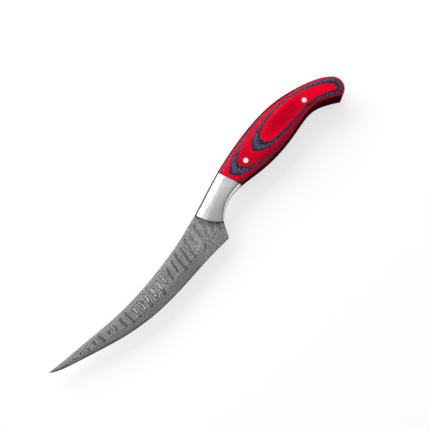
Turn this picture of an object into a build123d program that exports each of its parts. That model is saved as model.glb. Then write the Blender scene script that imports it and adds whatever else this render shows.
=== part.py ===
from build123d import *
import os

# A fillet knife lying flat on its right side, at its real size in millimetres.
# It is drawn about the middle of the joint between bolsters and scales, on the mid-plane of the blade:
# X runs from the tip towards the butt, Y from the cutting edge towards the spine, Z out of the left side.
# The last lines move the pieces so that the origin is under the middle of the knife, on what it lies on.

os.makedirs("parts", exist_ok=True)

# Blade
blade_length = 128.0  # tip to the bolsters' front corner on the spine
blade_depth = 24.6  # chord of the spine to the cutting edge at the heel
blade_thickness = 2.6  # also the tang's, under bolsters and scales
tip_thickness = 1.0
edge_thickness = 0.1
edge_bevel = 0.8  # height of the sharpened bevel along the edge
shoulder_thickness = 0.5  # where that bevel starts
tip_depth = 0.8
tip_drop = 4.9  # how far the tip lies below the bolsters' front corner
spine_hollow = 7.3  # how far the spine dips below its chord
heel_setback = 4.9  # heel corner behind the bolsters' front corner
heel_radius = 2.6

# Bolsters, measured from the joint with the scales
bolster_length = 30.0  # along the spine side
bolster_belly_length = 25.8
bolster_angle = 17.8  # axis of the bolsters against the knife's length
bolster_spine_offset = 8.3
bolster_belly_offset = 9.5
front_bulge = 2.3  # of the curved front edge, in plan
front_slope = 12.0  # of the front edge, from upright
front_drop = 12.7
front_angle = 34.0  # of the ridge at the bolsters' front, against the knife's length
joint_depth = 16.2
joint_thickness = 12.4

# Grip, the sculpted form that bolsters and scales share
grip_length = 93.8  # joint to the end of the butt
grip_depth = 24.7
grip_thickness = 19.6
butt_drop = 6.2
butt_angle = 33.0  # of the ridge at the butt, against the knife's length
butt_radius = 7.8
butt_thickness = 18.5
butt_wall = 14.4  # height of the straight wall round the butt
beak_depth = 5.8  # middle of the butt to the belly line that ends in the beak

# Pins
handle_pin_diameter = 3.7
bolster_pin_diameter = 3.0
bolster_pin_reach = 20.0  # front pin, from the joint
bolster_pin_pitch = 11.5
pin_clearance = 0.03

overrun = 5.0  # how far cutters reach past what they cut

# Blade sections: along the blade, dip of the spine, depth of the edge, width of the ground bevel.
# The bevel is a share of the section's own width.
blade_shares = (
    (0.09, 0.26, 0.27, 0.90),
    (0.20, 0.50, 0.48, 0.86),
    (0.34, 0.82, 0.73, 0.66),
    (0.50, 1.00, 0.92, 0.50),
    (0.66, 0.91, 0.99, 0.42),
    (0.84, 0.56, 0.98, 0.37),
)
heel_shares = (-0.12, 1.005, 0.345)
taper_start_share = 0.10  # of the blade's length, ahead of the bolsters

# Grip sections: along, rise, half depth to the back, half depth to the belly, half thickness,
# half height of the wall at the back, the same at the belly.
bolster_section_shares = (
    (-1.01, -1.00, 1.50, 1.15, 0.77, 0.42, 0.42),
    (-0.70, -0.51, 1.03, 0.95, 0.82, 0.43, 0.43),
    (-0.46, -0.25, 0.89, 0.89, 0.87, 0.45, 0.44),
    (0.00, 0.00, 1.00, 1.00, 1.00, 0.48, 0.39),
)
grip_section_shares = (
    (0.195, 0.145, 0.883, 0.883, 0.806, 0.36, 0.19),
    (0.428, 0.306, 0.996, 1.004, 0.964, 0.41, 0.16),
    (0.649, 0.480, 0.866, 0.874, 1.000, 0.47, 0.185),
    (0.824, 0.226, 0.664, 0.632, 0.974, 0.63, 0.51),
    (0.917, -0.226, 0.632, 0.559, 0.959, 0.70, 0.69),
)
back_fullness_shares = (0.60, 0.60, 0.60, 0.60, 0.60, 0.60, 0.60, 0.61, 0.63, 0.66)
belly_fullness_shares = (0.66, 0.66, 0.66, 0.67, 0.69, 0.69, 0.70, 0.71, 0.70, 0.66)

# Scale pins: along the grip and rise, from the joint
handle_pin_shares = ((0.170, -0.03), (0.784, 0.10))

grip_reach = grip_length - butt_radius
axis = Vector(1, 0).rotate(Axis.Z, bolster_angle)
across = Vector(0, 1).rotate(Axis.Z, bolster_angle)
front_spine = across * bolster_spine_offset - axis * bolster_length
front_belly = -across * bolster_belly_offset - axis * bolster_belly_length
tip_x = front_spine.X - blade_length
tip_y = front_spine.Y - tip_drop
joint_plane = Plane(origin=(0, 0, 0), x_dir=across, z_dir=axis)
front_chord = front_spine - front_belly
front_line = front_chord.normalized()
front_inward = Vector(front_line.Y, -front_line.X)
front_plane = Plane(origin=front_belly, x_dir=front_line, z_dir=front_inward)
front_radius = (front_chord.length**2 / 4 + front_bulge**2) / (2 * front_bulge)
front_centre = (front_spine + front_belly) / 2 + front_inward * (front_radius - front_bulge)
tang_top = Plane.XY.offset(blade_thickness / 2)
taper_x = front_spine.X - taper_start_share * blade_length

handle_pin_places = [Vector(along * grip_reach, rise * butt_drop) for along, rise in handle_pin_shares]
pin_list = [
    ("handle_pin_front", handle_pin_places[0], handle_pin_diameter),
    ("handle_pin_rear", handle_pin_places[1], handle_pin_diameter),
    ("bolster_pin_front", -axis * bolster_pin_reach, bolster_pin_diameter),
    ("bolster_pin_rear", -axis * (bolster_pin_reach - bolster_pin_pitch), bolster_pin_diameter),
]


def blade_station(along, dip, depth, bevel):
    """One section of the blade: place, spine, grind line, sharpened bevel's top and edge."""
    chord = tip_y + tip_drop * along
    spine = chord - spine_hollow * dip
    edge = chord - blade_depth * depth
    grind = edge + bevel * (spine - edge)
    return tip_x + blade_length * along, spine, grind, edge + edge_bevel, edge


def grip_station(shares, length, rise, depth, thickness):
    """One section of the grip's form in real sizes, from its shares."""
    along, up, back, belly, half, back_wall, belly_wall = shares
    half_thickness = half * thickness / 2
    return (
        Vector(along * length, up * rise),
        back * depth / 2,
        belly * depth / 2,
        half_thickness,
        back_wall * half_thickness,
        belly_wall * half_thickness,
    )


def crown(side, wall, half, fullness):
    """Curve from the top of the wall up to the ridge, on one side of a section."""
    return Bezier(
        (side, wall),
        (side, wall + fullness * (half - wall)),
        (fullness * side, half),
        (0, half),
    )


# The blade's stations, from the tip past the heel
heel_along = 1 + heel_setback / blade_length
last_along = heel_along + overrun / blade_length
tip_edge = tip_y - tip_depth
blade_stations = [(tip_x, tip_y, tip_y - tip_depth / 2, tip_edge + tip_depth / 4, tip_edge)]
blade_stations += [blade_station(*shares) for shares in blade_shares]
blade_stations += [blade_station(along, *heel_shares) for along in (heel_along, last_along)]
heel = Vector(blade_stations[-2][0], blade_stations[-2][-1])

# The grip's stations, from the bolsters' front to the middle of the butt
grip_stations = [
    grip_station(shares, bolster_length, front_drop, joint_depth, joint_thickness)
    for shares in bolster_section_shares
]
grip_stations += [
    grip_station(shares, grip_reach, butt_drop, grip_depth, grip_thickness)
    for shares in grip_section_shares
]
butt_centre = Vector(grip_reach, -butt_drop)
grip_stations += [
    (butt_centre, butt_radius, beak_depth, butt_thickness / 2, butt_wall / 2, butt_wall / 2)
]
ridge_ends = (Vector(1, 0).rotate(Axis.Z, front_angle), Vector(1, 0).rotate(Axis.Z, -butt_angle))

with BuildLine():
    ridge = Spline(*[station[0] for station in grip_stations], tangents=ridge_ends)

# Sculpted form of the grip: sections square to its ridge, with straight walls and crowned sides
with BuildPart() as grip_form:
    sections = []
    for station, back_full, belly_full in zip(grip_stations, back_fullness_shares, belly_fullness_shares):
        point, back, belly, half, back_wall, belly_wall = station
        forward = ridge.tangent_at(ridge.param_at_point(point))
        section_plane = Plane(origin=point, x_dir=(-forward.Y, forward.X, 0), z_dir=forward)
        with BuildLine(section_plane) as section:
            Line((back, -back_wall), (back, back_wall))
            crown(back, back_wall, half, back_full)
            crown(-belly, belly_wall, half, belly_full)
            Line((-belly, belly_wall), (-belly, -belly_wall))
            crown(-belly, -belly_wall, -half, belly_full)
            crown(back, -back_wall, -half, back_full)
        sections.append(Face(section.wire()))
    loft(sections)
    last_section = grip_form.faces().sort_by(Axis.X)[-1]

# Butt: the last section carried on, inside a dome about the middle of the butt
butt_forward = ridge_ends[1]
butt_belly = Vector(butt_forward.Y, -butt_forward.X)

with BuildPart() as butt_form:
    extrude(last_section, amount=butt_radius + overrun)
    with BuildSketch(Plane(origin=butt_centre, x_dir=butt_belly, z_dir=butt_forward)):
        with BuildLine():
            Line((0, -butt_thickness / 2), (0, butt_thickness / 2))
            crown(butt_radius, butt_wall / 2, butt_thickness / 2, back_fullness_shares[-1])
            Line((butt_radius, butt_wall / 2), (butt_radius, -butt_wall / 2))
            crown(butt_radius, -butt_wall / 2, -butt_thickness / 2, back_fullness_shares[-1])
        make_face()
    revolve(axis=Axis(butt_centre, (0, 0, 1)), mode=Mode.INTERSECT)

with BuildPart() as whole_form:
    add(grip_form.part)
    add(butt_form.part)

# Tang: the middle of the form, behind the bolsters' front corners
with BuildPart() as tang:
    add(whole_form.part)
    split(bisect_by=tang_top, keep=Keep.BOTTOM)
    split(bisect_by=Plane.XY.offset(-blade_thickness / 2), keep=Keep.TOP)
    split(bisect_by=front_plane, keep=Keep.TOP)

# Plan of the bolsters: a round front, and straight sides well outside the form that run back past the joint
with BuildSketch(tang_top) as bolster_plan:
    with Locations(front_centre):
        Circle(front_radius)
    Polygon(
        front_centre + front_line * front_radius,
        front_centre - front_line * front_radius,
        front_centre - front_line * front_radius + front_inward * bolster_length,
        front_centre + front_line * front_radius + front_inward * bolster_length,
        align=None,
    )

# Pins: straight through, and ground flush with the form on both sides
pins = {}
for name, place, diameter in pin_list:
    with BuildPart() as pin:
        with Locations(place):
            Cylinder(diameter / 2, 2 * grip_thickness)
        add(whole_form.part, mode=Mode.INTERSECT)
    pins[name] = pin

with BuildPart() as pin_holes:
    for name, place, diameter in pin_list:
        with Locations(place):
            Cylinder(diameter / 2 + pin_clearance, 2 * grip_thickness)

# Blade: ground sections square to its length, thinned towards the tip, with the tang behind it
with BuildPart() as blade:
    for place, spine, grind, shoulder, edge in blade_stations:
        with BuildSketch(Plane(origin=(place, 0, 0), x_dir=(0, 1, 0), z_dir=(1, 0, 0))):
            Polygon(
                (spine, blade_thickness / 2),
                (grind, blade_thickness / 2),
                (shoulder, shoulder_thickness / 2),
                (edge, edge_thickness / 2),
                (edge, -edge_thickness / 2),
                (shoulder, -shoulder_thickness / 2),
                (grind, -blade_thickness / 2),
                (spine, -blade_thickness / 2),
                align=None,
            )
    loft()
    for side in (1, -1):
        taper_plane = Plane(
            origin=(taper_x, 0, side * blade_thickness / 2),
            x_dir=(0, 1, 0),
            z_dir=((tip_thickness - blade_thickness) / 2, 0, side * (taper_x - tip_x)),
        )
        split(bisect_by=taper_plane, keep=Keep.BOTTOM)
    with BuildSketch() as blade_plan:
        with BuildLine():
            Polyline(
                (tip_x - overrun, blade_depth),
                (front_spine.X, blade_depth),
                front_spine,
                front_belly,
                heel,
                (tip_x - overrun, heel.Y - blade_depth),
                close=True,
            )
        make_face()
        fillet(blade_plan.vertices().sort_by_distance(heel)[0], radius=heel_radius)
    extrude(amount=blade_thickness, both=True, mode=Mode.INTERSECT)
    add(tang.part, clean=False)
    add(pin_holes.part, mode=Mode.SUBTRACT, clean=False)

# Left bolster and scale: what lies above the tang, each side of the joint
with BuildPart() as bolster_left:
    extrude(bolster_plan.sketch, amount=grip_thickness / 2, taper=front_slope)
    split(bisect_by=joint_plane, keep=Keep.BOTTOM)
    add(whole_form.part, mode=Mode.INTERSECT)
    add(pin_holes.part, mode=Mode.SUBTRACT)

with BuildPart() as scale_left:
    add(whole_form.part)
    split(bisect_by=joint_plane, keep=Keep.TOP)
    split(bisect_by=tang_top, keep=Keep.TOP)
    add(pin_holes.part, mode=Mode.SUBTRACT)

with BuildPart() as bolster_right:
    mirror(bolster_left.part, about=Plane.XY)

with BuildPart() as scale_right:
    mirror(scale_left.part, about=Plane.XY)

pieces = {
    "blade": blade,
    "bolster_left": bolster_left,
    "bolster_right": bolster_right,
    "scale_left": scale_left,
    "scale_right": scale_right,
    **pins,
}

# The origin goes under the middle of the knife, on the surface that it lies on
box = Compound([piece.part for piece in pieces.values()]).bounding_box()
under_middle = Location((-box.center().X, -box.center().Y, -box.min.Z))
for name, piece in pieces.items():
    piece.part.move(under_middle)
    piece.part.label = name
    export_step(piece.part, f"parts/{name}.step", write_pcurves=False)
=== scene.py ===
# Looks of a fillet knife: etched blade, satin bolsters, laminated scales, bright pins
from math import radians

import bpy
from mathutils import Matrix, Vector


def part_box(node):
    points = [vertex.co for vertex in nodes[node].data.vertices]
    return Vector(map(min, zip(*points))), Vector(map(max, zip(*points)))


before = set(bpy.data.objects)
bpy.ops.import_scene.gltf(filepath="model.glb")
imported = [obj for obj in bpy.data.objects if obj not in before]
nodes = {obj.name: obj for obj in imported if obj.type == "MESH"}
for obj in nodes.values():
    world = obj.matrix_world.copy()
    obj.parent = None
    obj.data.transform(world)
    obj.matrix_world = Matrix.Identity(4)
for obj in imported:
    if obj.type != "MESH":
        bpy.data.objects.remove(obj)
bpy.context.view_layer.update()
print("frame loaded,", len(nodes), "nodes")

mm = 1000  # millimetres in a metre; patterns are laid out in millimetres
materials = bpy.data.materials


def shade(red, green, blue):
    # a colour as read off a screen, 0 to 255, made linear
    def linear(part):
        part /= 255
        return part / 12.92 if part <= 0.04045 else ((part + 0.055) / 1.055) ** 2.4
    return (linear(red), linear(green), linear(blue), 1)


def grey(level):
    return (level, level, level, 1)


def box(name):
    # a piece's lowest and highest corners, in millimetres
    low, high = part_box(name)
    return [mm * part for part in low], [mm * part for part in high]


class Wire:
    # a value on its way through a material, so that sums are written as sums
    def __init__(self, finish, socket):
        self.finish = finish
        self.socket = socket

    def math(self, operation, first, second=0.0):
        return self.finish.add("ShaderNodeMath", {"operation": operation}, {0: first, 1: second})

    def __add__(self, other):
        return self.math("ADD", self, other)

    def __radd__(self, other):
        return self.math("ADD", other, self)

    def __sub__(self, other):
        return self.math("SUBTRACT", self, other)

    def __rsub__(self, other):
        return self.math("SUBTRACT", other, self)

    def __mul__(self, other):
        return self.math("MULTIPLY", self, other)

    def __rmul__(self, other):
        return self.math("MULTIPLY", other, self)

    def __truediv__(self, other):
        return self.math("DIVIDE", self, other)

    def __rtruediv__(self, other):
        return self.math("DIVIDE", other, self)

    def __pow__(self, other):
        return self.math("POWER", self, other)

    def __rpow__(self, other):
        return self.math("POWER", other, self)

    def __abs__(self):
        return self.math("ABSOLUTE", self)

    def floor(self):
        return self.math("FLOOR", self)

    def most(self, other):
        # the larger of the two
        return self.math("MAXIMUM", self, other)

    def other(self, name):
        # another output of the same node
        return Wire(self.finish, self.socket.node.outputs[name])


class Finish:
    # the nodes of a material, or of the world, under construction
    def __init__(self, name, library):
        self.owner = library.new(name)
        self.owner.use_nodes = True
        self.tree = self.owner.node_tree
        self.tree.nodes.clear()

    def add(self, kind, settings, values):
        node = self.tree.nodes.new(kind)
        for name, setting in settings.items():
            if name == "stops":
                ramp = node.color_ramp
                while len(ramp.elements) < len(setting):
                    ramp.elements.new(0.5)
                for element, (position, tone) in zip(ramp.elements, setting):
                    element.position = position
                    element.color = grey(tone)
            elif name == "curve":
                node.color_ramp.interpolation = setting
            else:
                setattr(node, name, setting)
        for name, value in values.items():
            if isinstance(value, Wire):
                self.tree.links.new(value.socket, node.inputs[name])
            else:
                node.inputs[name].default_value = value
        return Wire(self, node.outputs[0]) if node.outputs else node

    def place(self):
        # the place on the piece, in millimetres
        place = self.add("ShaderNodeTexCoord", {}, {}).other("Object")
        return self.add("ShaderNodeVectorMath", {"operation": "SCALE"}, {0: place, "Scale": mm})

    def facing(self):
        # which way the surface looks
        return self.add("ShaderNodeTexCoord", {}, {}).other("Normal")

    def split(self, vector):
        x = self.add("ShaderNodeSeparateXYZ", {}, {0: vector})
        return x, x.other("Y"), x.other("Z")

    def point(self, x, y, z):
        return self.add("ShaderNodeCombineXYZ", {}, {0: x, 1: y, 2: z})

    def stretch(self, place, shares):
        # small shares draw a pattern out along that direction
        return self.add("ShaderNodeVectorMath", {"operation": "MULTIPLY"}, {0: place, 1: shares})

    def turn(self, place, degrees, centre=(0.0, 0.0)):
        # turned about an upright line
        return self.add("ShaderNodeVectorRotate", {"rotation_type": "Z_AXIS"}, {
            "Vector": place, "Center": (*centre, 0.0), "Angle": radians(degrees)})

    def noise(self, place, scale, detail, roughness):
        # from about -0.5 to 0.5
        return self.add("ShaderNodeTexNoise", {}, {
            "Vector": place, "Scale": scale, "Detail": detail, "Roughness": roughness}) - 0.5

    def ease(self, value, start, end, low=0.0, high=1.0):
        # low before the start, high past the end, smooth between them
        return self.add("ShaderNodeMapRange", {"interpolation_type": "SMOOTHSTEP"}, {
            "Value": value, "From Min": start, "From Max": end, "To Min": low, "To Max": high})

    def ramp(self, value, stops, curve="LINEAR"):
        return self.add("ShaderNodeValToRGB", {"stops": stops, "curve": curve}, {0: value})

    def mix(self, factor, first, second):
        mixed = self.add("ShaderNodeMix", {"data_type": "RGBA"}, {0: factor, 6: first, 7: second})
        return mixed.other("Result")

    def close(self, values, height, relief):
        # the last nodes of a material; the relief is in millimetres
        values["Normal"] = self.add("ShaderNodeBump", {}, {"Distance": relief / mm, "Height": height})
        surface = self.add("ShaderNodeBsdfPrincipled", {}, values)
        self.add("ShaderNodeOutputMaterial", {}, {"Surface": surface})
        return self.owner


def dress(names, material):
    for name in names:
        for slot in nodes[name].material_slots:
            slot.link = "OBJECT"
            slot.material = material
    print(", ".join(names), "dressed")


joint = (32.7, 6.2)  # middle of the joint between bolsters and scales, mm
jointTurn = 17.8  # of the grip there against the knife's length, degrees
middle = (box("blade")[0][2] + box("blade")[1][2]) / 2  # height of the knife's mid-plane

# Blade and tang
blade = {
    "length": 128.0,  # mm, tip to bolsters
    "tipUp": 0.25,  # of the point, over the middle of the box
    "rise": 4.9,  # of the chord, tip to bolsters
    "dip": 7.3,  # of the spine below that chord
    "depth": 24.6,  # of the edge below that chord, at the bolsters
    "spineCurve": (  # share of the dip, tip to bolsters
        (0, 0), (0.09, 0.26), (0.20, 0.50), (0.34, 0.82), (0.50, 1.0), (0.66, 0.91), (0.84, 0.56), (1, 0)),
    "edgeCurve": (  # share of the depth, tip to bolsters
        (0, 0.033), (0.09, 0.27), (0.20, 0.48), (0.34, 0.73),
        (0.50, 0.92), (0.66, 0.99), (0.84, 0.98), (1, 1)),
    "figurePitch": 5.2,
    "figureLean": 0.72,  # feet towards the tip, most at the bolsters
    "figureSway": 3.2,
    "figureContrast": 0.53,
    "ringReach": 5.0,  # how far the rings of a figure go out
    "ringTones": (  # tones of those rings, from the inside out
        (0.0, 0.10), (0.15, 0.02), (0.20, 0.16), (0.27, 1.0), (0.35, 0.36), (0.42, 0.28),
        (0.51, 0.86), (0.59, 0.34), (0.69, 0.72), (0.80, 0.42), (0.90, 0.58)),
    "heartContrast": 1.75,
    "grain": 1.25,
    "light": shade(202, 202, 203),
    "dark": shade(86, 86, 88),
    "rim": shade(66, 66, 68),  # painted shade of the sharpened bevel, a dark line along the edge
    "rimWidth": 1.7,
    "edgeShadeCover": 0.6,
    "tang": shade(46, 14, 20),  # where it shows between the scales: the etched steel's own dark tone with painted shade of the walls round it
    "metallic": 0.75,
    "roughness": (0.54, 0.42),  # where it is dark and light
    "relief": 0.02,
}


def bladeFinish(look):
    f = Finish("etchedSteel", materials)
    place = f.place()
    x, y, z = f.split(place)
    along = (x - box("blade")[0][0]) / look["length"]  # 0 at the tip, 1 at the bolsters
    chord = along * look["rise"] + look["tipUp"]
    spine = chord - look["dip"] * f.ramp(along, look["spineCurve"], "CARDINAL")
    edge = chord - look["depth"] * f.ramp(along, look["edgeCurve"], "CARDINAL")
    down = spine - y
    width = spine - edge
    near = f.ease(along, 0.80, 0.93)  # 1 near the bolsters

    # figures in a row along the blade, each with its own shift, head and foot
    lean = ((along - 0.5) * look["figureLean"]).most((along - 0.5) * 0.15)
    sway = f.noise(place, 0.12, 1.0, 0.5) * look["figureSway"]
    run = x + lean * down + sway
    row = run / look["figurePitch"]
    number = row.floor()
    chance = f.add("ShaderNodeTexWhiteNoise", {"noise_dimensions": "1D"}, {"W": number})
    shift, top, bottom = f.split(chance.other("Color"))
    jag = f.noise(f.point(run, down * 0.6, z), 0.38, 1.0, 0.5)
    nick = f.noise(f.point(run, down * 0.8, z), 1.0, 2.0, 0.6)
    speck = f.noise(f.point(run, down * 0.7, z), 1.6, 3.0, 0.85)
    across = (row - number - 0.5) * look["figurePitch"] + (shift - 0.5) * 0.7
    head = top * 1.6 + 2.7
    foot = width * (bottom * 0.30 + 0.44)
    beyond = (head - down).most(down - foot).most(0.0)
    ring = (across ** 2 + beyond ** 2) ** 0.5 + jag * (beyond * 0.5 + 1.8) + nick * 1.1

    # rings round each figure; those in the middle of the blade are larger, with a light heart
    lit = f.ease(along, 0.70, 0.67) * f.ease(along, 0.44, 0.48) * f.ease(top, 0.15, 0.25)
    reach = ring * (1 - lit * 0.28 - near * 0.15) / look["ringReach"]
    rings = f.ramp(reach, look["ringTones"], "EASE") - 0.5
    heart = f.ease(ring, 0.9, 0.4) * f.ease(down + jag * 7, head + 6, head + 4)
    heart = heart * f.ease(nick + speck * 0.5, -0.12, 0.04)
    rings = (rings + heart * lit * look["heartContrast"]) * f.ease(along, 0.03, 0.13)

    # streaks near the bolsters, a fine grain, and a plain ground zone above the edge, with a base tone
    # that darkens from the spine towards the edge as painted shade
    share = down / width  # 0 at the spine, 1 at the edge
    plain = f.ease(share + jag * 0.5, 0.66, 0.92)
    streaks = f.noise(f.point(run * 1.5, down * 0.4, z), 0.85, 3.0, 0.75)
    # painted shade: the base tone darker from the spine towards the edge and in the plain ground zone
    base = f.ease(share + near * 0.3, 0.02, 0.40, 0.42, 0.29) * (1 - plain) + plain * 0.28
    base = base + near * 0.09 + f.ease(along, 0.22, 0.05) * 0.07
    tone = base + rings * (1 - near * 0.45) * (1 - plain * 0.75) * look["figureContrast"]
    tone = tone + streaks * (near * 0.9 + 0.15) + speck * (look["grain"] - plain * 0.4)
    colour = f.mix(f.ease(tone, -0.1, 1.05), look["dark"], look["light"])

    # painted shade of the sharpened bevel: a dark line along the edge, widest a quarter of the way back
    # from the tip
    rimWidth = f.ease(along, 0.65, 0.30, 1.0, look["rimWidth"]) * f.ease(along, 0.04, 0.26, 0.3, 1.0)
    rim = f.ease((y - edge) / rimWidth + nick * 0.6, 1.0, 0.5)
    colour = f.mix(rim * look["edgeShadeCover"], colour, look["rim"])

    # behind the joint the tang is dull, and its dark colour is partly its etching, partly painted shade of
    # the walls round it
    behind = f.split(f.turn(place, -jointTurn, joint))[0] - joint[0]
    tang = f.ease(behind, -0.3, 0.3)
    return f.close({
        "Base Color": f.mix(tang, colour, look["tang"]),
        "Metallic": look["metallic"] - tang * look["metallic"],
        "Roughness": f.ease(tone, 0.0, 1.0, *look["roughness"]),
        "Specular IOR Level": 0.0,
    }, tone, look["relief"])


dress(["blade"], bladeFinish(blade))

# Bolsters and the pins that hold them
bolster = {
    "colour": shade(245, 245, 246),
    "darker": shade(217, 217, 219),  # of the brushed lines
    "front": shade(190, 190, 192),  # painted darker reflection towards the blade, on the belly side
    # painted shade on the bolsters' upright walls
    "rim": shade(96, 92, 96),
    "spineWallShade": 0.82,  # painted shade on the spine side's upright wall, as a share of the half thickness
    "bellyWallShade": 0.40,
    "jointLine": shade(70, 62, 68),  # dark line at the joint
    "roughness": (0.20, 0.29),
    "relief": 0.004,
}


def bolsterFinish(look):
    f = Finish("satinSteel", materials)
    place = f.place()
    x, y, z = f.split(place)
    turned = f.turn(place, -jointTurn, joint)
    lines = f.noise(f.stretch(turned, (0.03, 0.6, 0.0)), 1.0, 4.0, 0.6)
    cloud = f.noise(place, 0.16, 2.0, 0.5)
    behind, side = f.split(turned)[:2]
    behind = behind - joint[0]
    side = side - joint[1]
    colour = f.mix(f.ease(lines * 0.8 + cloud * 0.5, -0.2, 0.2), look["darker"], look["colour"])
    # painted reflection: a darker grey towards the blade on the belly side
    colour = f.mix(f.ease(x, 28, 6) * f.ease(side, 2.6, -1.4), colour, look["front"])
    # the bolsters swell towards the joint, from 4.8 to 6.2 mm on each side
    height = abs(z - middle) / (4.73 + x * 0.045)
    # painted shade: the upright walls darker, highest on the spine side
    rim = f.ease(side, -4.4, -5.4) * look["bellyWallShade"] + f.ease(side, 6.2, 7.0) * look["spineWallShade"]
    colour = f.mix(f.ease(height - rim, 0.05, -0.05), colour, look["rim"])
    return f.close({
        "Base Color": f.mix(f.ease(behind, -0.60, -0.35), colour, look["jointLine"]),
        "Metallic": 1.0,
        "Roughness": f.ease(lines, -0.2, 0.2, *look["roughness"]),
    }, lines, look["relief"])


dress(["bolster_left", "bolster_right", "bolster_pin_front", "bolster_pin_rear"], bolsterFinish(bolster))

# Scales
scale = {
    # heights over the mid-plane where the veneers change, blue below the first, then by turns
    "glueLines": (1.6, 2.8, 3.5, 4.2, 4.5, 5.05, 5.6, 6.36, 7.18, 8.42, 9.06),
    "heartHeight": 9.5,  # above this the red is deeper
    "streakTurn": 45.0,  # of the blue veneers' fibres, degrees
    "red": shade(244, 2, 42),
    "heart": shade(186, 0, 36),
    "slate": shade(102, 108, 136),
    "navy": shade(28, 28, 50),
    "wall": shade(58, 3, 16),  # painted shade on the upright sides
    "wallFacing": 0.52,  # a face that looks up less than this is such a side
    "wallCover": 0.88,
    "roughness": (0.32, 0.42),
    "coat": 0.06,
    "relief": 0.01,
}


def scaleFinish(look):
    f = Finish("laminatedWood", materials)
    place = f.place()
    x, y, z = f.split(place)
    # the fibres run along the knife
    grain = f.noise(f.stretch(place, (0.16, 0.6, 0.6)), 1.0, 2.0, 0.5)
    fibres = f.noise(f.stretch(place, (0.45, 2.6, 2.6)), 1.0, 3.0, 0.6)
    fleck = f.noise(f.stretch(place, (1.1, 1.8, 1.0)), 1.1, 2.0, 0.7)
    # the seams waver with the grain, less so at the butt
    height = abs(z - middle) + (grain * 0.30 + fibres * 0.22) * f.ease(x, 90, 108, 1.0, 0.4)
    # the outer blue veneer lies a little higher there
    height = height + f.ease(x, 90, 110) * (f.ease(height, 8.95, 8.2) * 0.06 - 0.13)

    # one ramp, red at 0 and blue at 1, whose slopes are the seams
    highest = 10  # mm, where the ramp ends
    stops = []
    for count, line in enumerate(look["glueLines"]):
        blueBelow = float(count % 2 == 0)
        reach = 0.24 if line > 6 else 0.13  # half a seam, wider where veneers are thick
        stops += [((line - reach) / highest, blueBelow), ((line + reach) / highest, 1 - blueBelow)]
    layers = f.ramp(height / highest, stops)
    blue = f.ease(layers, 0.42, 0.58)
    seam = 1 - (layers * 2 - 1) ** 2

    streaks = f.noise(f.stretch(f.turn(place, -look["streakTurn"]), (0.35, 1.7, 0.6)), 1.0, 2.0, 0.6)
    slate = f.mix(f.ease(streaks + fleck * 0.5, -0.22, 0.22), look["navy"], look["slate"])
    slate = f.mix(seam * 0.9, slate, look["navy"])
    # a deeper red on the crown, and towards the bolsters in the veneer below it
    heart = height + fleck * 1.1 + grain * 0.5 - (x - 75) * 0.008
    heart = f.ease(heart, look["heartHeight"] - 0.3, look["heartHeight"] + 0.2)
    blush = f.ease(height, 8.5, 8.0) * f.ease(height, 7.1, 7.4) * f.ease(x, 78, 62)
    red = f.mix(heart * 0.85 + blush * 0.5 + fleck * 0.3, look["red"], look["heart"])
    colour = f.mix(blue, red, slate)

    # painted shade: the upright sides are darker than the crowned ones, and the shade reaches further up
    # at the back
    back, up = f.split(f.facing())[1:]
    upright = abs(up) - back.most(0.0) * f.ease(x, 70, 95, 0.28, 0.48)
    wall = f.ease(upright + fibres * 0.1, look["wallFacing"] + 0.1, look["wallFacing"] - 0.1)
    return f.close({
        "Base Color": f.mix(wall * look["wallCover"], colour, look["wall"]),
        "Roughness": f.ease(fibres, -0.2, 0.2, *look["roughness"]),
        "Specular IOR Level": 0.0,
        "Coat Weight": look["coat"] - wall * look["coat"],
        "Coat Roughness": 0.15,
    }, fibres, look["relief"])


dress(["scale_left", "scale_right"], scaleFinish(scale))

# Pins through the scales
pin = {
    "colour": shade(255, 255, 255),
    "darker": shade(247, 247, 249),  # of the brushed lines
    "rim": shade(96, 84, 92),  # glue round each pin
    "rimWidth": 0.3,
    "roughness": (0.31, 0.40),
    "relief": 0.004,
}
pinNames = ["handle_pin_front", "handle_pin_rear"]


def pinFinish(look):
    f = Finish("brightSteel", materials)
    place = f.place()
    x, y, z = f.split(place)
    lines = f.noise(f.stretch(place, (3.0, 0.8, 1.0)), 1.0, 3.0, 0.6)
    colour = f.mix(f.ease(lines, -0.15, 0.15), look["darker"], look["colour"])
    for name in pinNames:
        low, high = box(name)
        radius = (high[0] - low[0]) / 2
        away = ((x - (low[0] + high[0]) / 2) ** 2 + (y - (low[1] + high[1]) / 2) ** 2) ** 0.5
        rim = f.ease(away, radius - look["rimWidth"] * 1.5, radius - look["rimWidth"] * 0.5)
        colour = f.mix(rim * f.ease(away, radius + 1.0, radius + 0.5), colour, look["rim"])
    return f.close({
        "Base Color": colour,
        "Metallic": 0.1,
        "Roughness": f.ease(lines, -0.2, 0.2, *look["roughness"]),
    }, lines, look["relief"])


dress(pinNames, pinFinish(pin))

# Floor
floorLook = {
    "size": 3.0,
    "grey": 0.42,
    "glow": 0.65,  # added where the floor is seen, so that its lit part is white
    "bounce": 0.30,  # grey of what the floor gives back to the object
}


def studioFloor(look):
    bpy.ops.mesh.primitive_plane_add(size=look["size"], location=(0, 0, 0))
    floor = bpy.context.object
    floor.name = "floor"
    f = Finish("paleFloor", materials)
    # white to the camera, and in gloss and glass
    ray = f.add("ShaderNodeLightPath", {}, {})
    seen = ray.most(ray.other("Is Glossy Ray")).most(ray.other("Is Transmission Ray"))
    matt = f.add("ShaderNodeBsdfDiffuse", {}, {"Color": grey(look["grey"])})
    glow = f.add("ShaderNodeEmission", {}, {"Color": grey(1), "Strength": look["glow"]})
    dim = f.add("ShaderNodeBsdfDiffuse", {}, {"Color": grey(look["bounce"])})
    white = f.add("ShaderNodeAddShader", {}, {0: matt, 1: glow})
    surface = f.add("ShaderNodeMixShader", {}, {0: seen, 1: dim, 2: white})
    f.add("ShaderNodeOutputMaterial", {}, {"Surface": surface})
    floor.data.materials.append(f.owner)


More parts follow.
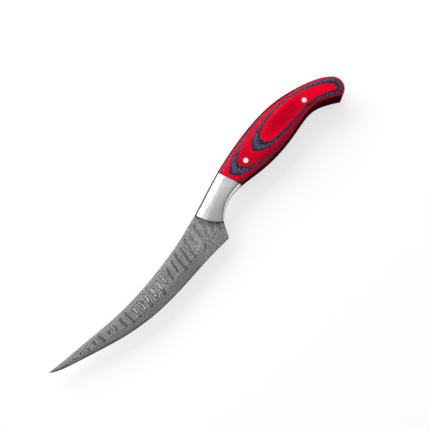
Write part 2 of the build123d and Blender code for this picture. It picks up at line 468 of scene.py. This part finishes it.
# A dim sheet over the knife, which stops short of the softbox and darkens away from it
ceilingLook = {
    "height": 1.05,
    "spine": 0.34,  # its end on the spine's side, metres
    "belly": -3.9,
    "halfLength": 3.0,
    "nearLevel": 0.68,  # light by the softbox
    "farLevel": 0.14,
    "fade": (250, -1900),  # where the light starts to fall and stops, mm
}


def studioCeiling(look):
    centre = (look["spine"] + look["belly"]) / 2
    bpy.ops.mesh.primitive_plane_add(size=1, location=(0, centre, look["height"]))
    ceiling = bpy.context.object
    ceiling.name = "ceiling"
    ceiling.scale = (2 * look["halfLength"], look["spine"] - look["belly"], 1)
    bpy.ops.object.transform_apply(location=True, rotation=False, scale=True)
    ceiling.visible_camera = False
    f = Finish("dimCeiling", materials)
    y = f.split(f.place())[1]
    level = f.ease(y, *look["fade"], look["nearLevel"], look["farLevel"])
    light = f.add("ShaderNodeEmission", {}, {"Strength": level})
    f.add("ShaderNodeOutputMaterial", {}, {"Surface": light})
    ceiling.data.materials.append(f.owner)


# Lamp on the spine's side
softboxLook = {
    "place": (0.10, 0.98, 0.72),
    "size": (1.7, 0.85),
    "level": 2.85,  # brightness, whatever the size
}


def studioSoftbox(look):
    bpy.ops.object.light_add(type="AREA", location=look["place"])
    softbox = bpy.context.object
    softbox.name = "softbox"
    softbox.data.shape = "RECTANGLE"
    softbox.data.size, softbox.data.size_y = look["size"]
    softbox.data.energy = look["level"] * 4 * look["size"][0] * look["size"][1]
    softbox.rotation_euler = softbox.location.to_track_quat("Z", "Y").to_euler()
    softbox.visible_camera = False


worldLevel = 0.25  # light of the room, which the camera and gloss see white


def studioWorld(level):
    f = Finish("studio", bpy.data.worlds)
    ray = f.add("ShaderNodeLightPath", {}, {})
    seen = ray.most(ray.other("Is Glossy Ray"))
    strength = f.ease(seen, 0.0, 1.0, level, 1.0)
    background = f.add("ShaderNodeBackground", {}, {"Color": grey(1), "Strength": strength})
    f.add("ShaderNodeOutputWorld", {}, {"Surface": background})
    bpy.context.scene.world = f.owner


# Camera, nearly overhead
cameraLook = {
    "place": (-0.079834, -0.091967, 0.606543),
    "tilt": 12.0,  # off the upright, degrees
    "turn": -45.54,
    "lens": 83.05,
    "sensor": 36,
}


def studioCamera(look):
    angles = (radians(look["tilt"]), 0, radians(look["turn"]))
    bpy.ops.object.camera_add(location=look["place"], rotation=angles)
    camera = bpy.context.object
    camera.data.lens = look["lens"]
    camera.data.sensor_width = look["sensor"]
    bpy.context.scene.camera = camera


bpy.ops.object.select_all(action="DESELECT")
studioFloor(floorLook)
studioCeiling(ceilingLook)
studioSoftbox(softboxLook)
studioWorld(worldLevel)
studioCamera(cameraLook)
bpy.context.scene.view_settings.view_transform = "Standard"
print("studio ready")
